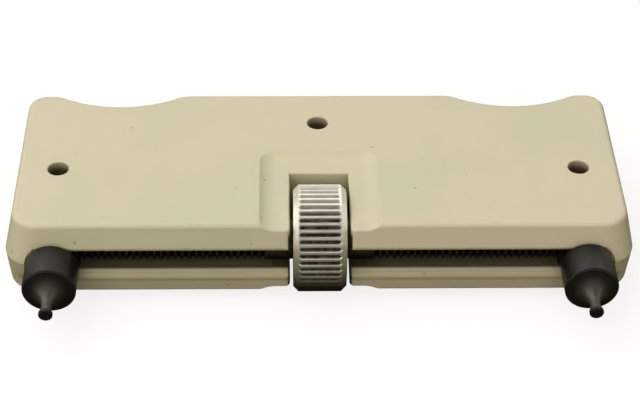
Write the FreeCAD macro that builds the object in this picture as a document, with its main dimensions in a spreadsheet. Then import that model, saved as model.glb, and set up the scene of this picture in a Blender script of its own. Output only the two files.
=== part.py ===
import FreeCAD, Part
import math
import os
import re
import Sketcher

# Two-claw case back opener: a two-shell handle with a knurled thumbwheel that turns a
# double-handed lead screw, which draws two clawed carriages together or apart.
# Frame: +X along the handle, claws towards -Y, +Z up, millimetres.
# The origin is at the centre of the bounding box's base, under the thumbwheel.

os.makedirs("parts", exist_ok=True)
doc = FreeCAD.newDocument("CaseBackOpener")

SIZES = {
    # handle shells
    "body_length": 89.7,
    "body_depth": 33.35,
    "parting_up": 0.65,
    "upper_height": 5.85,
    "lower_height": 6.35,
    "moulding_wall": 1.9,
    "screw_setback": 6.25,
    "upper_end_lean": 0.22,
    "lower_end_lean": 0.04,
    "upper_front_lean": 0.25,
    "lower_front_lean": 0.2,
    "back_lean": 0.15,
    "front_corner": 4.0,
    "back_corner": 2.9,
    "parting_edge": 0.15,
    "rim_round": 0.8,
    # finger grips on the back edge
    "grip_offset": 29.8,
    "grip_chord": 18.2,
    "grip_depth": 2.75,
    "grip_blend": 4.0,
    # hollow around the thumbwheel
    "relief_width": 17.2,
    "relief_back": 12.0,
    "relief_depth": 0.9,
    "relief_cove": 3.4,
    "well_width": 8.55,
    "well_back": 8.0,
    "well_edge": 0.3,
    "lip_round": 0.7,
    # front slot and the channel behind it
    "slot_half": 2.15,
    "slot_length": 81.4,
    "slot_floor": 1.9,
    "channel_front": 3.7,
    "channel_back": 4.6,
    "channel_half": 4.0,
    "channel_length": 82.8,
    "rib_outer": 7.0,
    # rear hollows of the mouldings
    "pocket_inner": 9.5,
    "pocket_outer": 33.5,
    "pocket_front": 7.2,
    "pocket_back": 22.0,
    "pocket_corner": 2.0,
    # case screws and their inserts
    "boss_offset": 37.85,
    "boss_back": 8.1,
    "rear_boss_back": 19.0,
    "insert_radius": 2.0,
    "insert_length": 3.4,
    "insert_waist": 0.3,
    "insert_gap": 0.02,
    "bolt_radius": 1.25,
    "bolt_end": 3.7,
    "head_radius": 2.2,
    "head_height": 1.6,
    "head_round": 0.4,
    "head_seat": 2.6,
    "head_bore": 2.6,
    "recess_radius": 1.1,
    "recess_half": 0.25,
    "tip_hole": 1.5,
    "through_hole": 1.4,
    "hole_edge": 0.2,
    # thumbwheel
    "wheel_radius": 7.7,
    "wheel_width": 7.6,
    "wheel_chamfer": 0.75,
    "wheel_dish": 0.3,
    "wheel_hub": 3.8,
    "knurl_count": 46,
    "knurl_length": 6.3,
    "knurl_tip": 0.4,
    "knurl_width": 0.8,
    "knurl_deep": 0.38,
    "knurl_flank": 43.0,
    # lead screw
    "thread_radius": 3.0,
    "pitch": 1.0,
    "thread_deep": 0.55,
    "thread_half": 0.45,
    "thread_start": 8.0,
    "thread_end": 40.9,
    "journal_radius": 1.5,
    "bush_radius": 2.5,
    "bush_length": 2.0,
    "washer_radius": 2.8,
    "washer_thick": 0.4,
    "running_gap": 0.05,
    # carriages
    "claw_offset": 37.95,
    "carriage_width": 6.6,
    "carriage_gap": 0.15,
    "carriage_edge": 0.4,
    "neck_width": 5.2,
    # claws
    "collar_radius": 3.8,
    "collar_seat": 5.78,
    "collar_room": 0.15,
    "collar_gap": 0.06,
    "collar_length": 5.6,
    "collar_edge": 0.25,
    "shank_radius": 1.5,
    "shank_length": 2.6,
    "cone_radius": 3.3,
    "cone_curve": 3.4,
    "neck_radius": 0.74,
    "claw_reach": 16.35,
    "claw_head": 1.0,
    "claw_head_long": 0.7,
    "claw_head_round": 0.15,
    "dowel_radius": 0.6,
    "dowel_back": 4.75,
}

sheet = doc.addObject("Spreadsheet::Sheet", "Sizes")
for row, (name, number) in enumerate(SIZES.items(), start=1):
    sheet.set(f"A{row}", name)
    sheet.set(f"B{row}", str(number))
    sheet.setAlias(f"B{row}", name)
doc.recompute()

ORIGIN_POINT = (-1, 1)


def formula(text):
    """Point every size named in a formula at its cell of the sheet."""
    return re.sub(r"[a-z_]+", lambda word: "Sizes." + word[0] if word[0] in SIZES else word[0], text)


def size(text):
    """Number that a formula of sheet sizes has now."""
    result = sheet.evalExpression(formula(str(text)))
    return float(getattr(result, "Value", result))


def bind(thing, prop, text):
    """Drive a property of an object by a formula of sheet sizes."""
    thing.setExpression(prop, formula(str(text)))


def new_body(name):
    body = doc.addObject("PartDesign::Body", name)
    body.Label = name
    return body


def new_sketch(body, plane, name, height=None):
    """Empty sketch on one of the body's own origin planes, lifted by a formula."""
    role = plane + "_Plane"
    support = [item for item in body.Origin.OriginFeatures if item.Role == role][0]
    sketch = body.newObject("Sketcher::SketchObject", name)
    sketch.AttachmentSupport = [(support, "")]
    sketch.MapMode = "FlatFace"
    if height is not None:
        bind(sketch, "AttachmentOffset.Base.z", height)
    return sketch


def hold(sketch, kind, text, *where):
    """Add a dimension whose value follows a formula."""
    index = sketch.addConstraint(Sketcher.Constraint(kind, *where, size(text)))
    bind(sketch, f"Constraints[{index}]", text)


def pin(sketch, geo, end, across, up):
    """Fix a point of the sketch at two formulas from its origin."""
    hold(sketch, "DistanceX", across, *ORIGIN_POINT, geo, end)
    hold(sketch, "DistanceY", up, *ORIGIN_POINT, geo, end)


def loop(sketch, corners):
    """Closed outline. A corner is (across, up), or (across, up, radius) for an arc that leads to it.

    A positive radius bows the arc to the left of its chord, a negative one to the right.
    """
    places = [FreeCAD.Vector(size(corner[0]), size(corner[1]), 0) for corner in corners]
    ids = []
    for index, corner in enumerate(corners):
        start, end = places[index - 1], places[index]
        if len(corner) == 2:
            ids.append(sketch.addGeometry(Part.LineSegment(start, end)))
            continue
        radius = size(corner[2])
        chord = end - start
        half = chord.Length / 2
        left = FreeCAD.Vector(-chord.y, chord.x, 0).normalize()
        rise = abs(radius) - math.sqrt(radius * radius - half * half)
        middle = (start + end) / 2 + left * math.copysign(rise, radius)
        ids.append(sketch.addGeometry(Part.Arc(start, middle, end)))
    for index, corner in enumerate(corners):
        here, after = ids[index], ids[(index + 1) % len(ids)]
        here_end = near_end(sketch, here, places[index])
        after_end = near_end(sketch, after, places[index])
        sketch.addConstraint(Sketcher.Constraint("Coincident", here, here_end, after, after_end))
        pin(sketch, here, here_end, corner[0], corner[1])
        if len(corner) == 3:
            hold(sketch, "Radius", f"abs({corner[2]})", here)
    return sketch


def near_end(sketch, geo, place):
    """1 if a curve starts at a place, 2 if it ends there."""
    start = sketch.getPoint(geo, 1)
    return 1 if (start - place).Length < 1e-6 else 2


def box_loop(sketch, left, right, low, high):
    return loop(sketch, [(left, low), (right, low), (right, high), (left, high)])


def round_loop(sketch, places, radius):
    """Circles of one radius at a list of (across, up) places."""
    for across, up in places:
        centre = FreeCAD.Vector(size(across), size(up), 0)
        geo = sketch.addGeometry(Part.Circle(centre, FreeCAD.Vector(0, 0, 1), size(radius)))
        pin(sketch, geo, 3, across, up)
        hold(sketch, "Radius", radius, geo)
    return sketch


def pad(body, sketch, length, both_sides=False):
    feature = body.newObject("PartDesign::Pad", sketch.Name + "Pad")
    feature.Profile = sketch
    feature.Midplane = both_sides
    bind(feature, "Length", length)
    doc.recompute()
    return feature


def pocket(body, sketch, length, both_sides=False, reverse=False):
    """Cut a sketch out of the body and make sure that material went."""
    before = body.Shape.Volume
    feature = body.newObject("PartDesign::Pocket", sketch.Name + "Cut")
    feature.Profile = sketch
    feature.Midplane = both_sides
    feature.Reversed = reverse
    bind(feature, "Length", length)
    doc.recompute()
    if not 0 < body.Shape.Volume < before - 1e-6:
        raise RuntimeError(f"{body.Label}: {feature.Name} cuts nothing")
    return feature


def turn(body, plane, name, corners, axis="H_Axis"):
    """Solid of revolution of an outline about its sketch's own axis."""
    sketch = loop(new_sketch(body, plane, name), corners)
    feature = body.newObject("PartDesign::Revolution", name + "Turn")
    feature.Profile = sketch
    feature.ReferenceAxis = (sketch, [axis])
    feature.Angle = 360
    doc.recompute()
    return feature


def edges(body, test):
    """Names of the body's edges whose bounding box passes a test."""
    return [f"Edge{number}" for number, edge in enumerate(body.Shape.Edges, start=1) if test(edge.BoundBox)]


def round_edges(body, name, radius, test, kind="Fillet"):
    """Fillet or chamfer the edges that pass a test."""
    chosen = edges(body, test)
    if not chosen:
        raise RuntimeError(f"{body.Label}: no edges for {name}")
    base = body.Tip
    feature = body.newObject("PartDesign::" + kind, name)
    feature.Base = (base, chosen)
    bind(feature, "Radius" if kind == "Fillet" else "Size", radius)
    doc.recompute()
    if not feature.isValid():
        raise RuntimeError(f"{body.Label}: {name} failed")
    return feature


def near(value, text, slack=0.02):
    return abs(value - size(text)) < slack


BACK = "body_depth - screw_setback"
GRIP = "(grip_chord * grip_chord / 4 + grip_depth * grip_depth) / (2 * grip_depth)"
FAR = "body_length"
AXIS_HEIGHT = "wheel_radius"
AXIS_BACK = "(claw_reach - body_depth + screw_setback) / 2"
BOSSES = [
    ("left", "-boss_offset", "boss_back"),
    ("right", "boss_offset", "boss_back"),
    ("rear", "0", "rear_boss_back"),
]
SIDES = [("left", "-1"), ("right", "1")]


def place(thing, across="0", back="0", up="0", turn_about_y=0):
    """Set a sub-part by formulas measured from the lead screw's axis."""
    spin = FreeCAD.Rotation(FreeCAD.Vector(0, 1, 0), turn_about_y)
    thing.Placement = FreeCAD.Placement(FreeCAD.Vector(0, 0, 0), spin)
    bind(thing, "Placement.Base.x", across)
    bind(thing, "Placement.Base.y", f"{AXIS_BACK} + {back}")
    bind(thing, "Placement.Base.z", f"{AXIS_HEIGHT} + {up}")


def relief_cutter(name, height):
    """Block with a coved floor edge that sinks the thumb relief into a shell."""
    body = new_body(name)
    cove_rise = "relief_cove - sqrt(relief_cove * relief_cove - (relief_cove - relief_depth) ^ 2)"
    half = f"relief_width / 2 + {cove_rise}"
    floor = f"{height} - relief_depth"
    sketch = new_sketch(body, "XY", name + "Plan", floor)
    box_loop(sketch, f"-({half})", half, f"-{FAR}", f"relief_back + {cove_rise}")
    pad(body, sketch, f"{height} * 2")

    def is_coved(box):
        upright = box.XLength < 0.01 and box.YLength < 0.01 and box.YMin > 0
        low = box.ZLength < 0.01 and near(box.ZMin, floor) and box.YMax > 0
        return upright or low

    round_edges(body, name + "Cove", "relief_cove", is_coved)
    return body


def shell_block(name, half):
    """Solid handle half: leaning sides, rounded corners, finger grips and a rounded rim."""
    body = new_body(name)
    height = half + "_height"
    section = new_sketch(body, "YZ", name + "Section")
    front_top = (f"-screw_setback + {half}_front_lean * {height}", height)
    back_top = (f"{BACK} - back_lean * {height}", height)
    loop(section, [("-screw_setback", "0"), (BACK, "0"), back_top, front_top])
    pad(body, section, "body_length", both_sides=True)
    ends = new_sketch(body, "XZ", name + "Ends")
    for side_name, sign in SIDES:
        tip = f"{sign} * body_length / 2"
        loop(ends, [(tip, "0"), (tip, height), (f"{sign} * (body_length / 2 - {half}_end_lean * {height})", height)])
    pocket(body, ends, FAR, both_sides=True)

    def is_upright(box):
        return near(box.ZLength, height)

    round_edges(body, name + "FrontCorners", "front_corner", lambda box: is_upright(box) and box.YMax < 0)
    round_edges(body, name + "BackCorners", "back_corner", lambda box: is_upright(box) and box.YMax > 0)

    grips = new_sketch(body, "XY", name + "Grips")
    centre = f"{BACK} - grip_depth + {GRIP}"
    round_loop(grips, [("-grip_offset", centre), ("grip_offset", centre)], GRIP)
    grip_cut = pocket(body, grips, height, reverse=True)
    bind(grip_cut, "TaperAngle", "atan(back_lean)")
    doc.recompute()
    inner_reach = size("grip_offset + grip_chord / 2 + 1.5")
    round_edges(
        body,
        name + "GripBlends",
        "grip_blend",
        lambda box: is_upright(box) and box.YMax > 20 and max(abs(box.XMin), abs(box.XMax)) < inner_reach,
    )
    round_edges(
        body,
        name + "Rim",
        "rim_round",
        lambda box: box.ZLength < 0.01 and near(box.ZMin, height),
    )
    return body


def shell(name, half, axis):
    """Moulded half of the handle, parting face down at z = 0 and outer face up, still without screw holes.

    half is upper or lower, and axis is the height of the lead screw's axis above the parting face.
    """
    body = shell_block(name, half)
    height = half + "_height"
    relief = body.newObject("PartDesign::Boolean", name + "Relief")
    relief.Type = "Cut"
    relief.addObject(relief_cutter(name + "_relief_cutter", height))
    body.Tip = relief
    doc.recompute()

    well = new_sketch(body, "XY", name + "Well")
    box_loop(well, "-well_width / 2", "well_width / 2", f"-{FAR}", "well_back")
    pocket(body, well, height, reverse=True)

    slot = new_sketch(body, "XY", name + "Slot")
    lip = f"slot_half + {axis}"
    box_loop(slot, "-slot_length / 2", "slot_length / 2", f"-{FAR}", "-channel_front")
    pocket(body, slot, lip, reverse=True)

    def is_lip(box):
        if box.YMax > -size("channel_front + 0.5"):
            return False
        along_slot = box.ZLength < 0.01 and near(box.ZMin, lip) and box.XLength > 5
        half_well = size("well_width / 2")
        beside_well = box.XLength < 0.01 and abs(abs(box.XMin) - half_well) < 0.01 and box.ZLength > 1
        return along_slot or beside_well

    round_edges(body, name + "Lips", "lip_round", is_lip)

    seats = new_sketch(body, "XZ", name + "CollarSeats", "collar_seat - collar_gap")
    round_loop(seats, [("-claw_offset", axis), ("claw_offset", axis)], "collar_radius + collar_room")
    pocket(body, seats, "screw_setback", reverse=True)

    def is_well_edge(box):
        on_floor = box.ZLength < 0.01 and near(box.ZMin, f"{height} - relief_depth")
        across = box.YLength < 0.01 and near(box.YMin, "well_back")
        along = box.XLength < 0.01 and abs(abs(box.XMin) - size("well_width / 2")) < 0.01
        return on_floor and (across or along)

    round_edges(body, name + "WellEdge", "well_edge", is_well_edge)
    half_length = size("body_length / 2")
    round_edges(
        body,
        name + "PartingEdge",
        "parting_edge",
        lambda box: box.ZMax < 0.01
        and (box.YMin > size(BACK) - 4 or max(abs(box.XMin), abs(box.XMax)) > half_length - 0.01),
        kind="Chamfer",
    )

    for side_name, sign in SIDES:
        channel = new_sketch(body, "XY", name + side_name + "Channel")
        ends = [f"{sign} * rib_outer", f"{sign} * channel_length / 2"]
        box_loop(channel, ends[0], ends[1], "-channel_front", "channel_back")
        pocket(body, channel, f"channel_half + {axis}", reverse=True)

        hollow = new_sketch(body, "XY", name + side_name + "Hollow")
        ends = [f"{sign} * pocket_inner", f"{sign} * pocket_outer"]
        box_loop(hollow, ends[0], ends[1], "pocket_front", "pocket_back")
        pocket(body, hollow, f"{height} - moulding_wall", reverse=True)
    round_edges(
        body,
        name + "HollowCorners",
        "pocket_corner",
        lambda box: box.XLength < 0.01 and box.YLength < 0.01 and near(box.ZLength, f"{height} - moulding_wall"),
    )

    saddle = new_sketch(body, "XY", name + "Saddle")
    box_loop(saddle, "-rib_outer - lip_round", "rib_outer + lip_round", "-channel_front - lip_round", "-slot_floor")
    pocket(body, saddle, lip, reverse=True)
    journal = new_sketch(body, "YZ", name + "Journal")
    round_loop(journal, [("0", axis)], "thread_radius + running_gap")
    pocket(body, journal, "rib_outer * 2", both_sides=True)
    seat = new_sketch(body, "YZ", name + "BushSeat")
    round_loop(seat, [("0", axis)], "bush_radius")
    pocket(body, seat, "channel_length + 2 * bush_length", both_sides=True)
    return body


def screw_holes(body, name, radius, depth, start="0"):
    """Round holes at the three screw bosses, cut outwards from a height above the parting face."""
    sketch = new_sketch(body, "XY", name, start)
    round_loop(sketch, [(across, back) for side_name, across, back in BOSSES], radius)
    pocket(body, sketch, depth, reverse=True)


def soften_holes(body, height):
    """Break the edges of the round holes in a shell's outer face."""
    round_edges(
        body,
        body.Label + "HoleEdges",
        "hole_edge",
        lambda box: box.ZLength < 0.01 and near(box.ZMin, height) and max(box.XLength, box.YLength) < 6,
    )


parts = []

upper = shell("upper_shell", "upper", "-parting_up")
screw_holes(upper, "InsertBores", "insert_radius", "insert_length")
screw_holes(upper, "TipHoles", "tip_hole", "upper_height")
soften_holes(upper, "upper_height")
place(upper, up="parting_up")
parts.append(upper)

lower = shell("lower_shell", "lower", "parting_up")
screw_holes(lower, "ThroughHoles", "through_hole", "lower_height")
screw_holes(lower, "HeadBores", "head_bore", "head_seat", "lower_height - head_seat")
soften_holes(lower, "lower_height")
place(lower, up="parting_up", turn_about_y=180)
parts.append(lower)

# Knurled thumbwheel, pressed on the plain middle of the lead screw.
wheel = new_body("thumbwheel")
HALF_WHEEL = "wheel_width / 2"
WHEEL_RIM = "wheel_radius - 2 * wheel_chamfer"
right_half = [
    (HALF_WHEEL, "thread_radius"),
    (HALF_WHEEL, "wheel_hub"),
    (f"{HALF_WHEEL} - wheel_dish", "wheel_hub"),
    (f"{HALF_WHEEL} - wheel_dish", WHEEL_RIM),
    (HALF_WHEEL, WHEEL_RIM),
    (HALF_WHEEL, "wheel_radius - wheel_chamfer"),
    (f"{HALF_WHEEL} - wheel_chamfer", "wheel_radius"),
]
left_half = [(f"-({across})", up) for across, up in reversed(right_half)]
turn(wheel, "XZ", "WheelProfile", right_half + left_half)
groove = new_sketch(wheel, "XY", "KnurlGroove", "wheel_radius")
loop(groove, [
    ("knurl_length / 2", "0"),
    ("knurl_length / 2 - knurl_tip", "knurl_width / 2"),
    ("-knurl_length / 2 + knurl_tip", "knurl_width / 2"),
    ("-knurl_length / 2", "0"),
    ("-knurl_length / 2 + knurl_tip", "-knurl_width / 2"),
    ("knurl_length / 2 - knurl_tip", "-knurl_width / 2"),
])
groove_cut = pocket(wheel, groove, "knurl_deep")
bind(groove_cut, "TaperAngle", "-knurl_flank")
doc.recompute()
knurl = wheel.newObject("PartDesign::PolarPattern", "Knurl")
knurl.Originals = [groove_cut]
knurl.Axis = ([item for item in wheel.Origin.OriginFeatures if item.Role == "X_Axis"][0], [""])
knurl.Angle = 360
bind(knurl, "Occurrences", "knurl_count")
wheel.Tip = knurl
place(wheel)
parts.append(wheel)

# Lead screw: right-handed thread towards +X, left-handed towards -X, plain in the middle.
screw = new_body("lead_screw")
SCREW_TIP = "channel_length / 2 + bush_length - running_gap * 2"
right_end = [("thread_end", "thread_radius"), ("thread_end", "journal_radius"), (SCREW_TIP, "journal_radius")]
turn(
    screw,
    "XZ",
    "ScrewProfile",
    [(f"-({across})", up) for across, up in right_end]
    + [(f"-({SCREW_TIP})", "0"), (SCREW_TIP, "0")]
    + [(across, up) for across, up in reversed(right_end)],
)
for side_name, sign in SIDES:
    vee = new_sketch(screw, "XZ", side_name + "Vee")
    crest = "thread_radius + running_gap"
    root = f"{sign} * (thread_end + pitch)"
    loop(vee, [
        (f"{root} - thread_half", crest),
        (f"{root} + thread_half", crest),
        (root, "thread_radius - thread_deep"),
    ])
    thread = screw.newObject("PartDesign::SubtractiveHelix", side_name + "Thread")
    thread.Profile = vee
    thread.ReferenceAxis = (vee, ["H_Axis"])
    thread.Mode = 0
    bind(thread, "Pitch", "pitch")
    bind(thread, "Height", "thread_end + pitch - thread_start")
    thread.LeftHanded = side_name == "left"
    thread.Reversed = side_name == "right"
    doc.recompute()
place(screw)
parts.append(screw)


def ring(name, outer, inner, length):
    """Plain ring centred on the origin with its axis along X."""
    body = new_body(name)
    half = f"({length}) / 2"
    turn(body, "XZ", name + "Profile", [(f"-{half}", inner), (half, inner), (half, outer), (f"-{half}", outer)])
    return body


def carriage(name):
    """Threaded block with a neck that passes out through the front slot."""
    body = new_body(name)
    block = new_sketch(body, "YZ", name + "Block")
    block_front, block_back = "-channel_front + carriage_gap", "channel_back - carriage_gap"
    block_up = "channel_half - carriage_gap"
    box_loop(block, block_front, block_back, f"-({block_up})", block_up)
    pad(body, block, "carriage_width", both_sides=True)
    round_edges(
        body,
        name + "Edges",
        "carriage_edge",
        lambda box: box.YLength < 0.01 and near(box.YMin, block_back) and box.XLength > 1,
        kind="Chamfer",
    )
    neck = new_sketch(body, "YZ", name + "Neck")
    neck_up = "slot_half - carriage_gap"
    box_loop(neck, "-collar_seat", block_front, f"-({neck_up})", neck_up)
    pad(body, neck, "neck_width", both_sides=True)
    bore = new_sketch(body, "YZ", name + "Bore")
    round_loop(bore, [("0", "0")], "thread_radius + running_gap")
    pocket(body, bore, "carriage_width", both_sides=True)
    cross = new_sketch(body, "YZ", name + "DowelBore")
    round_loop(cross, [("-dowel_back", "0")], "dowel_radius")
    pocket(body, cross, "carriage_width", both_sides=True)
    shank = new_sketch(body, "XZ", name + "ShankBore", "collar_seat")
    round_loop(shank, [("0", "0")], "shank_radius")
    pocket(body, shank, "shank_length")
    return body


def claw(name):
    """Turned claw: shank, broad collar, trumpet-shaped nose and small round head, axis along Y."""
    body = new_body(name)
    seat = "-collar_seat"
    face = f"{seat} - collar_length"
    nose = f"{face} - sqrt(cone_curve ^ 2 - (cone_curve - cone_radius + neck_radius) ^ 2)"
    head = "-claw_reach + claw_head_long"
    turn(body, "YZ", name + "Profile", [
        (f"{seat} + shank_length", "0"),
        (f"{seat} + shank_length", "shank_radius"),
        (seat, "shank_radius"),
        (seat, "collar_radius - collar_edge"),
        (f"{seat} - collar_edge", "collar_radius"),
        (f"{face} + collar_edge", "collar_radius"),
        (face, "collar_radius - collar_edge"),
        (face, "cone_radius"),
        (nose, "neck_radius", "cone_curve"),
        (head, "neck_radius"),
        (head, "claw_head - claw_head_round"),
        (f"{head} - claw_head_round", "claw_head"),
        ("-claw_reach + claw_head_round", "claw_head"),
        ("-claw_reach", "claw_head - claw_head_round"),
        ("-claw_reach", "0"),
    ])
    cross = new_sketch(body, "YZ", name + "DowelBore")
    round_loop(cross, [("-dowel_back", "0")], "dowel_radius")
    pocket(body, cross, "collar_radius * 2", both_sides=True)
    return body


for side_name, sign in SIDES:
    bush = ring("end_bush_" + side_name, "bush_radius", "journal_radius + running_gap", "bush_length")
    place(bush, f"{sign} * (channel_length + bush_length) / 2")
    washer = ring("thrust_washer_" + side_name, "washer_radius", "journal_radius + running_gap", "washer_thick")
    place(washer, f"{sign} * (thread_end + channel_length / 2) / 2")
    block = carriage("carriage_" + side_name)
    place(block, f"{sign} * claw_offset")
    tool = claw("claw_" + side_name)
    place(tool, f"{sign} * claw_offset")
    dowel = doc.addObject("Part::Cylinder", "claw_dowel_" + side_name)
    dowel.Label = dowel.Name
    bind(dowel, "Radius", "dowel_radius")
    bind(dowel, "Height", "neck_width")
    place(dowel, f"{sign} * claw_offset - neck_width / 2", "-dowel_back", turn_about_y=90)
    parts += [bush, washer, block, tool, dowel]


def case_screw(name):
    """Screw that comes up from under the handle: head in its bore, shank through into the insert."""
    body = new_body(name)
    seat = "-lower_height + head_seat"
    base = f"{seat} - head_height"
    turn(body, "XZ", name + "Profile", [
        ("0", base),
        ("head_radius - head_round", base),
        ("head_radius", f"{base} + head_round"),
        ("head_radius", seat),
        ("bolt_radius", seat),
        ("bolt_radius", "bolt_end - head_round"),
        ("bolt_radius - head_round", "bolt_end"),
        ("0", "bolt_end"),
    ], axis="V_Axis")
    for number, (wide, deep) in enumerate([("recess_radius", "recess_half"), ("recess_half", "recess_radius")]):
        arm = new_sketch(body, "XY", f"{name}Recess{number}", base)
        box_loop(arm, f"-{wide}", wide, f"-{deep}", deep)
        pocket(body, arm, "head_height / 2", reverse=True)
    return body


def insert(name):
    """Pressed-in threaded insert with a waist that the moulding grips."""
    body = new_body(name)
    waist = "insert_radius - insert_waist"
    bore = "bolt_radius + insert_gap"
    turn(body, "XZ", name + "Profile", [
        (bore, "0"),
        ("insert_radius", "0"),
        ("insert_radius", "insert_length * 0.4"),
        (waist, "insert_length * 0.45"),
        (waist, "insert_length * 0.55"),
        ("insert_radius", "insert_length * 0.6"),
        ("insert_radius", "insert_length"),
        (bore, "insert_length"),
    ], axis="V_Axis")
    return body


for side_name, across, back in BOSSES:
    bolt = case_screw("case_screw_" + side_name)
    place(bolt, across, back, "parting_up")
    sleeve = insert("insert_" + side_name)
    place(sleeve, across, back, "parting_up")
    parts += [bolt, sleeve]

doc.recompute()
for item in doc.Objects:
    if "Invalid" in item.State or "Error" in item.State:
        raise RuntimeError(f"{item.Label}: {item.State}")
for item in parts:
    shape = item.Shape
    if shape.isNull() or not shape.isValid() or len(shape.Solids) != 1:
        raise RuntimeError(f"{item.Label}: bad shape")
    shape.exportStep(f"parts/{item.Label}.step")
    print(item.Label, round(shape.Volume, 1))
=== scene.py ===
import math

import bmesh
import bpy
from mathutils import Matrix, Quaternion, Vector


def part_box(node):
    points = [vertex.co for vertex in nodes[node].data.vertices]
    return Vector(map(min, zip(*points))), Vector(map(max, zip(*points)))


# Looks of a two-claw watch case back opener: ivory moulded handle, nickel thumbwheel with a
# straight knurl, blackened claws on a double-handed lead screw. Lengths here are in millimetres
# from the lead screw's centre, unless a name ends in _M, and turn into the frame's metres in at().

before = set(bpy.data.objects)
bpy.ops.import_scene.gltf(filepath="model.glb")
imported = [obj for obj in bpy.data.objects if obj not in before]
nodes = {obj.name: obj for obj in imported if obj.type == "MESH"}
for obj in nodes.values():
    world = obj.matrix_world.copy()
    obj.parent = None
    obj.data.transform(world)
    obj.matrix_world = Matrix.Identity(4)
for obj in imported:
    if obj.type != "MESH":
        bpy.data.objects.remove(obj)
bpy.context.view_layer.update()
MM = 0.001
CLAW_OFFSET = 37.95
SIDE_BORE = (37.85, 8.1)
REAR_BORE = (0.0, 19.0)
low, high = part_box("lead_screw")
AXIS_M = (low + high) / 2


def at(x, y, z):
    """Point of the frame in metres for a place in millimetres from the lead screw's centre."""
    return AXIS_M + Vector((x, y, z)) * MM


# ---------------------------------------------------------------- materials


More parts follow.
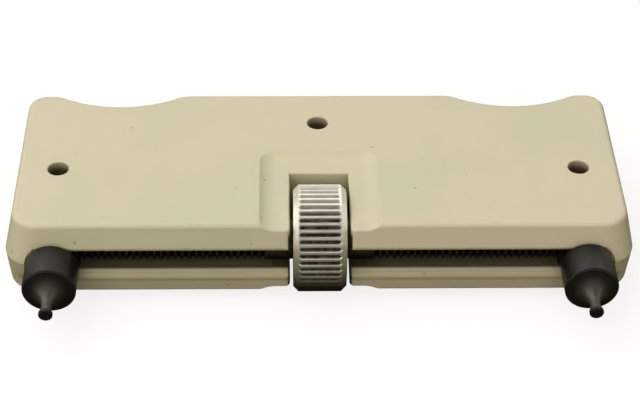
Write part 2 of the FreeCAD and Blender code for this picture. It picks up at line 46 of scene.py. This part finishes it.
class Paint:
    """Material whose nodes work in millimetres from the lead screw's centre."""

    def __init__(self, name, **sockets):
        self.material = bpy.data.materials.new(name)
        self.material.use_nodes = True
        self.tree = self.material.node_tree
        self.tree.nodes.clear()
        output = self.tree.nodes.new("ShaderNodeOutputMaterial")
        self.shader = self.tree.nodes.new("ShaderNodeBsdfPrincipled")
        self.tree.links.new(self.shader.outputs["BSDF"], output.inputs["Surface"])
        self.set(**sockets)
        coords = self.add("TexCoord").outputs["Object"]
        centred = self.add("VectorMath", {"operation": "SUBTRACT"}, {0: coords, 1: AXIS_M})
        scaled = self.add("VectorMath", {"operation": "SCALE"}, {0: centred.outputs[0], "Scale": 1 / MM})
        self.place = scaled.outputs[0]
        split = self.add("SeparateXYZ", {}, {0: self.place})
        self.x, self.y, self.z = split.outputs

    def set(self, **sockets):
        """Put values or links on the shader's sockets, with _ for the spaces in their names."""
        for name, value in sockets.items():
            self.put(self.shader.inputs[name.replace("_", " ")], value)

    def put(self, socket, value):
        if isinstance(value, bpy.types.NodeSocket):
            self.tree.links.new(value, socket)
        elif isinstance(value, tuple) and len(value) == 3 and socket.type == "RGBA":
            socket.default_value = (*value, 1)
        else:
            socket.default_value = value

    def add(self, kind, settings=None, inputs=None):
        node = self.tree.nodes.new("ShaderNode" + kind)
        for name, value in (settings or {}).items():
            setattr(node, name, value)
        for name, value in (inputs or {}).items():
            self.put(node.inputs[name], value)
        return node

    def math(self, operation, *values, clamp=False):
        node = self.add("Math", {"operation": operation, "use_clamp": clamp}, dict(enumerate(values)))
        return node.outputs[0]

    def ease(self, value, start, end, low=0.0, high=1.0):
        """Smooth step of a value from low at start to high at end."""
        names = {"Value": value, "From Min": start, "From Max": end, "To Min": low, "To Max": high}
        return self.add("MapRange", {"interpolation_type": "SMOOTHSTEP"}, names).outputs["Result"]

    def noise(self, scale, detail=2.0, stretch=(1, 1, 1), shift=(0, 0, 0), roughness=0.5):
        """Noise from 0 to 1 with about scale features per millimetre."""
        mapping = self.add("Mapping", {}, {"Vector": self.place, "Location": shift, "Scale": stretch})
        names = {"Vector": mapping.outputs[0], "Scale": scale, "Detail": detail, "Roughness": roughness}
        return self.add("TexNoise", {}, names).outputs["Fac"]

    def mix(self, factor, first, second, blend="MIX"):
        node = self.add("Mix", {"data_type": "RGBA", "blend_type": blend})
        for name, value in (("Factor_Float", factor), ("A_Color", first), ("B_Color", second)):
            socket = [item for item in node.inputs if item.identifier == name][0]
            self.put(socket, value)
        return [item for item in node.outputs if item.identifier == "Result_Color"][0]

    def edges(self, reach, start=0.9, end=0.6):
        """1 on edges within about reach of the surface, 0 on flats and even curves."""
        soft = self.add("Bevel", {"samples": 6}, {"Radius": reach * MM}).outputs["Normal"]
        hard = self.add("NewGeometry").outputs["Normal"]
        dot = self.add("VectorMath", {"operation": "DOT_PRODUCT"}, {0: soft, 1: hard}).outputs["Value"]
        return self.ease(dot, start, end)

    def hollow(self, reach, start=0.85, end=0.3):
        """1 in corners and narrow gaps, 0 on open surfaces."""
        node = self.add("AmbientOcclusion", {"samples": 8}, {"Distance": reach * MM})
        return self.ease(node.outputs["AO"], start, end)

    def reach(self, first, second):
        """Length of a right triangle's long side."""
        squares = [self.math("MULTIPLY", value, value) for value in (first, second)]
        return self.math("SQRT", self.math("ADD", *squares))

    def radius(self):
        """Distance from the lead screw's axis."""
        return self.reach(self.y, self.z)

    def claw_radius(self):
        """Distance from the axis of the nearer claw."""
        across = self.math("SUBTRACT", self.math("ABSOLUTE", self.x), CLAW_OFFSET)
        return self.reach(across, self.z)

    def bores(self, outer, inner):
        """1 inside the bores of the three case screws, 0 beyond the outer radius."""
        gaps = []
        for column, centre in ((self.math("ABSOLUTE", self.x), SIDE_BORE), (self.x, REAR_BORE)):
            offset = self.add("CombineXYZ", {}, {
                "X": self.math("SUBTRACT", column, centre[0]),
                "Y": self.math("SUBTRACT", self.y, centre[1]),
            })
            length = self.add("VectorMath", {"operation": "LENGTH"}, {0: offset.outputs[0]})
            gaps.append(length.outputs["Value"])
        return self.ease(self.math("MINIMUM", *gaps), outer, inner)

    def all_of(self, *masks):
        """Product of masks."""
        product = masks[0]
        for mask in masks[1:]:
            product = self.math("MULTIPLY", product, mask)
        return product

    def bump(self, *layers):
        """Stack heights into the shader's normal. A layer is (height from 0 to 1, size in millimetres)."""
        normal = None
        for height, size in layers:
            inputs = {"Height": height, "Distance": size * MM, "Strength": 1.0}
            if normal is not None:
                inputs["Normal"] = normal
            normal = self.add("Bump", {}, inputs).outputs["Normal"]
        self.set(Normal=normal)
        return self


def ivory():
    """Moulded plastic: cloudy tint, specks, painted shade in corners, gaps, bores and inside, pale worn
    edges.
    """
    paint = Paint("ivory_plastic", Specular_IOR_Level=0.30, IOR=1.49)
    cloud = paint.noise(0.045, 3.0)
    tint = paint.mix(paint.ease(cloud, 0.35, 0.65), (0.548, 0.544, 0.385), (0.600, 0.545, 0.410))
    grain = paint.noise(5.0, 2.0)
    tint = paint.mix(paint.ease(grain, 0.3, 0.7, 0.0, 0.06), tint, (0.40, 0.34, 0.20))
    speck = paint.ease(paint.noise(0.75, 1.0, shift=(3.1, 7.7, 1.3)), 0.775, 0.80)
    tint = paint.mix(paint.math("MULTIPLY", speck, 0.45), tint, (0.16, 0.11, 0.06))
    # Painted shade, darker where little light reaches: in corners, on the slot's lower lip, in the screw
    # bores, in the channel, beside the wheel.
    corner_shade = paint.math("MULTIPLY", paint.hollow(2.6), 0.5)
    # The painted shade in corners and narrow gaps, in a dark brown.
    tint = paint.mix(corner_shade, tint, (0.22, 0.165, 0.075))
    # Painted shadow of the upper shell on the slot's lower lip.
    lip_shade = paint.all_of(
        paint.ease(paint.z, -1.9, -2.3), paint.ease(paint.z, -3.6, -2.9), paint.ease(paint.y, -4.6, -5.0)
    )
    tint = paint.mix(paint.math("MULTIPLY", lip_shade, 0.5), tint, (0.20, 0.17, 0.075))
    # Painted shade in the screw bores, darker deeper down.
    bore_shade = paint.all_of(paint.bores(1.70, 1.50), paint.ease(paint.z, 6.35, 4.9, 0.35, 1.0))
    tint = paint.mix(bore_shade, tint, (0.060, 0.045, 0.022))
    across, back, up = (paint.math("ABSOLUTE", value) for value in (paint.x, paint.y, paint.z))
    # Painted shade inside the screw channel, where little light reaches.
    core = paint.ease(paint.math("MAXIMUM", back, up), 4.5, 3.7)
    inside = paint.all_of(core, paint.ease(across, 42.9, 42.5))
    tint = paint.mix(inside, tint, (0.05, 0.038, 0.018))
    # Painted shade on the well's side walls beside the wheel.
    gap_shade = paint.all_of(paint.ease(across, 4.6, 4.5), paint.ease(paint.y, 7.4, 6.0), paint.ease(up, 5.3, 4.2))
    tint = paint.mix(gap_shade, tint, (0.035, 0.025, 0.012))
    worn = paint.math("MULTIPLY", paint.edges(0.5), paint.ease(paint.noise(0.35, 3.0), 0.3, 0.7, 0.2, 0.8))
    tint = paint.mix(paint.math("MULTIPLY", worn, 0.35), tint, (0.76, 0.71, 0.56))
    scratch = paint.ease(paint.noise(1.0, 1.0, stretch=(0.15, 3.0, 1.0), roughness=0.4), 0.66, 0.74)
    rough = paint.ease(paint.noise(0.5, 3.0), 0.3, 0.7, 0.46, 0.58)
    paint.set(Base_Color=tint, Roughness=paint.math("SUBTRACT", rough, paint.math("MULTIPLY", worn, 0.12)))
    return paint.bump((grain, 0.010), (paint.noise(0.4, 2.0), 0.03), (scratch, -0.004))


def nickel():
    """Satin plating, knurl grooves soiled and with painted shade, lighter on top as painted light, and
    painted shade on the side that is low at rest.
    """
    paint = Paint("nickel_plate", Metallic=1.0)
    radius = paint.radius()
    across = paint.math("ABSOLUTE", paint.x)
    groove = paint.math("MULTIPLY", paint.ease(radius, 7.66, 7.42), paint.ease(across, 3.15, 2.95))
    patch = paint.noise(0.5, 4.0)
    plate = paint.mix(paint.ease(patch, 0.35, 0.7), (0.80, 0.765, 0.69), (0.71, 0.67, 0.59))
    # Painted shade: darker on the side that is low at rest; it turns with the wheel.
    low = paint.ease(paint.z, 2.2, -4.2)
    # Knurl grooves darker, partly real soiling and partly painted shade.
    dirt_and_shade = paint.math("MULTIPLY", groove, paint.ease(paint.noise(1.2, 3.0), 0.25, 0.75, 0.75, 1.0))
    # Painted light: the grooves lighter towards the side on top at rest.
    dirt_and_shade = paint.math("MULTIPLY", dirt_and_shade, paint.ease(paint.z, 7.45, 6.5, 0.3, 1.0))
    # Adds the painted shade of the low side.
    dirt_and_shade = paint.math("MAXIMUM", dirt_and_shade, low)
    tint = paint.mix(dirt_and_shade, plate, (0.060, 0.038, 0.020))
    rings = paint.math("SINE", paint.math("MULTIPLY", radius, 42.0))
    rough = paint.ease(paint.noise(2.2, 3.0), 0.3, 0.7, 0.40, 0.52)
    rough = paint.math("ADD", rough, paint.math("MULTIPLY", dirt_and_shade, 0.30))
    paint.set(Base_Color=tint, Roughness=rough)
    return paint.bump((paint.noise(4.0, 3.0, stretch=(0.25, 1, 1)), 0.010), (rings, 0.0006))


def black_oxide(name, rings_along, nose=False):
    """Blackened steel with fine turning rings, and for the claws a painted highlight on the nose."""
    paint = Paint(name, Metallic=0.55)
    patch = paint.noise(0.6, 4.0)
    tint = paint.mix(paint.ease(patch, 0.3, 0.7), (0.012, 0.012, 0.010), (0.018, 0.017, 0.014))
    worn = paint.math("MULTIPLY", paint.edges(0.18), paint.ease(paint.noise(1.1, 3.0), 0.35, 0.6))
    tint = paint.mix(paint.math("MULTIPLY", worn, 0.6), tint, (0.16, 0.15, 0.135))
    if nose:
        # Painted highlight on the claw's nose, across its hollow front.
        nose_highlight = paint.all_of(
            paint.ease(paint.claw_radius(), 3.0, 0.6),
            paint.ease(paint.y, -11.4, -11.8),
            paint.ease(paint.y, -15.7, -15.4),
        )
        tint = paint.mix(paint.math("MULTIPLY", nose_highlight, 0.42), tint, (0.16, 0.15, 0.13))
    wobble = paint.math("MULTIPLY", paint.noise(1.5, 1.0), 1.5)
    rings = paint.math("SINE", paint.math("ADD", paint.math("MULTIPLY", rings_along(paint), 34.0), wobble))
    rough = paint.ease(paint.noise(1.8, 3.0), 0.3, 0.7, 0.36, 0.50)
    paint.set(Base_Color=tint, Roughness=rough)
    return paint.bump((paint.noise(9.0, 2.0), 0.004), (rings, 0.0008))


def thread_steel():
    """Dark oiled thread, with painted shade in its roots."""
    paint = Paint("thread_steel", Metallic=0.8)
    radius = paint.radius()
    crest = paint.ease(radius, 2.55, 2.98)
    grease = paint.ease(paint.noise(0.7, 3.0), 0.3, 0.7)
    oiled = paint.mix(grease, (0.085, 0.070, 0.045), (0.035, 0.028, 0.017))
    # Painted shade: the roots darker than the crests.
    tint = paint.mix(crest, (0.012, 0.010, 0.006), oiled)
    rough = paint.ease(paint.noise(1.5, 2.0), 0.3, 0.7, 0.32, 0.48)
    paint.set(Base_Color=tint, Roughness=rough)
    return paint.bump((paint.noise(6.0, 2.0), 0.006))


def plated(name, light, dark, rough_low, rough_high):
    """Small turned metal parts: plating that varies a little, with painted shade in the corners."""
    paint = Paint(name, Metallic=1.0)
    tint = paint.mix(paint.ease(paint.noise(0.9, 4.0), 0.3, 0.7), light, dark)
    # Painted shade in the corners.
    corner_shade = paint.math("MULTIPLY", paint.hollow(0.8), 0.75)
    tint = paint.mix(corner_shade, tint, (0.06, 0.045, 0.03))
    bright = paint.math("MULTIPLY", paint.edges(0.12), 0.5)
    tint = paint.mix(bright, tint, (0.85, 0.83, 0.78))
    rough = paint.ease(paint.noise(3.0, 3.0), 0.3, 0.7, rough_low, rough_high)
    paint.set(Base_Color=tint, Roughness=rough)
    return paint.bump((paint.noise(7.0, 2.0), 0.005))


def dress(names, paint):
    """Give CAD nodes a material."""
    for name in names:
        for item in nodes[name].material_slots:
            item.material = paint.material


dress(["upper_shell", "lower_shell"], ivory())
dress(["thumbwheel"], nickel())
dress(["lead_screw"], thread_steel())
dress(["claw_left", "claw_right"], black_oxide("black_oxide_turned", lambda paint: paint.y, nose=True))
dress(["carriage_left", "carriage_right"], black_oxide("black_oxide_milled", lambda paint: paint.z))
dress(
    ["case_screw_left", "case_screw_right", "case_screw_rear"],
    plated("zinc_plate", (0.62, 0.61, 0.57), (0.46, 0.45, 0.40), 0.28, 0.45),
)
dress(
    ["end_bush_left", "end_bush_right", "insert_left", "insert_right", "insert_rear"],
    plated("turned_brass", (0.66, 0.47, 0.20), (0.50, 0.34, 0.14), 0.25, 0.40),
)
dress(
    ["thrust_washer_left", "thrust_washer_right", "claw_dowel_left", "claw_dowel_right"],
    plated("ground_steel", (0.60, 0.60, 0.59), (0.48, 0.48, 0.47), 0.20, 0.34),
)

# ---------------------------------------------------------------- floor

floor_mesh = bpy.data.meshes.new("floor")
surface = bmesh.new()
bmesh.ops.create_grid(surface, x_segments=8, y_segments=8, size=2.5)
surface.to_mesh(floor_mesh)
surface.free()
floor = bpy.data.objects.new("floor", floor_mesh)
bpy.context.scene.collection.objects.link(floor)
floor.location = (0, 0, 0)
floor_paint = Paint("pale_floor", Roughness=0.9, Specular_IOR_Level=0.0)
floor_paint.set(Base_Color=(0.20, 0.20, 0.20), Emission_Color=(1.0, 1.0, 0.998), Emission_Strength=0.82)
floor_mesh.materials.append(floor_paint.material)
floor.visible_diffuse = False
floor.visible_glossy = False

# ---------------------------------------------------------------- light


def area_light(name, place, aim, size, power, colour=(1, 1, 1)):
    data = bpy.data.lights.new(name, "AREA")
    data.shape = "RECTANGLE"
    data.size, data.size_y = size
    data.energy = power
    data.color = colour
    lamp = bpy.data.objects.new(name, data)
    bpy.context.scene.collection.objects.link(lamp)
    lamp.location = at(*place)
    lamp.rotation_euler = (at(*aim) - lamp.location).to_track_quat("-Z", "Y").to_euler()
    return lamp


area_light("key", (-340, 160, 720), (0, 8, 0), (0.9, 0.7), 3.2)
# The front fill gives no reflections, and the cards give nothing but reflections.
fill = area_light("front_fill", (-200, -560, 700), (0, 0, 0), (1.3, 0.8), 7.2, (1.0, 0.90, 0.77))
fill.visible_glossy = False
cards = (
    ("left_card", (-420, 60, 170), (0.6, 0.34), 1.0),
    ("right_card", (420, 60, 170), (0.6, 0.34), 0.55),
    ("back_card", (0, 460, 330), (0.9, 0.45), 1.6),
    ("front_card", (0, -420, 360), (0.9, 0.45), 0.24),
)
for name, place, size, power in cards:
    card = area_light(name, place, (0, 0, 0), size, power, (1.0, 0.97, 0.90))
    card.visible_diffuse = False

world = bpy.data.worlds.new("studio")
bpy.context.scene.world = world
world.use_nodes = True
tree = world.node_tree
# The surroundings go from dark olive below, through warm at the horizon, to pale grey above.
background = tree.nodes["Background"]
sky = tree.nodes.new("ShaderNodeTexCoord")
height = tree.nodes.new("ShaderNodeSeparateXYZ")
shade = tree.nodes.new("ShaderNodeValToRGB")
tree.links.new(sky.outputs["Generated"], height.inputs[0])
lift = tree.nodes.new("ShaderNodeMapRange")
lift.inputs["From Min"].default_value = -1
tree.links.new(height.outputs["Z"], lift.inputs["Value"])
tree.links.new(lift.outputs["Result"], shade.inputs["Fac"])
shade.color_ramp.elements[0].color = (0.085, 0.070, 0.022, 1)
shade.color_ramp.elements[1].color = (0.60, 0.60, 0.60, 1)
shade.color_ramp.elements.new(0.5).color = (0.34, 0.315, 0.21, 1)
tree.links.new(shade.outputs["Color"], background.inputs["Color"])
background.inputs["Strength"].default_value = 0.55

# ---------------------------------------------------------------- camera

CAMERA_PLACE = (-5.851, -205.799, 174.935)
CAMERA_AIM = (-1.559, 12.208, 0)
CAMERA_ROLL_DEG = 0.516
SENSOR_WIDTH = 36
LENS = 105.264
SHIFT = (0.01965, -0.03294)

camera_data = bpy.data.cameras.new("camera")
camera = bpy.data.objects.new("camera", camera_data)
bpy.context.scene.collection.objects.link(camera)
camera.location = at(*CAMERA_PLACE)
turn = (at(*CAMERA_AIM) - camera.location).to_track_quat("-Z", "Y")
camera.rotation_euler = (turn @ Quaternion((0, 0, 1), math.radians(CAMERA_ROLL_DEG))).to_euler()
camera_data.sensor_width = SENSOR_WIDTH
camera_data.lens = LENS
camera_data.shift_x, camera_data.shift_y = SHIFT
camera_data.clip_start = 0.01
bpy.context.scene.camera = camera

scene = bpy.context.scene
scene.view_settings.view_transform = "Standard"
scene.cycles.use_denoising = True
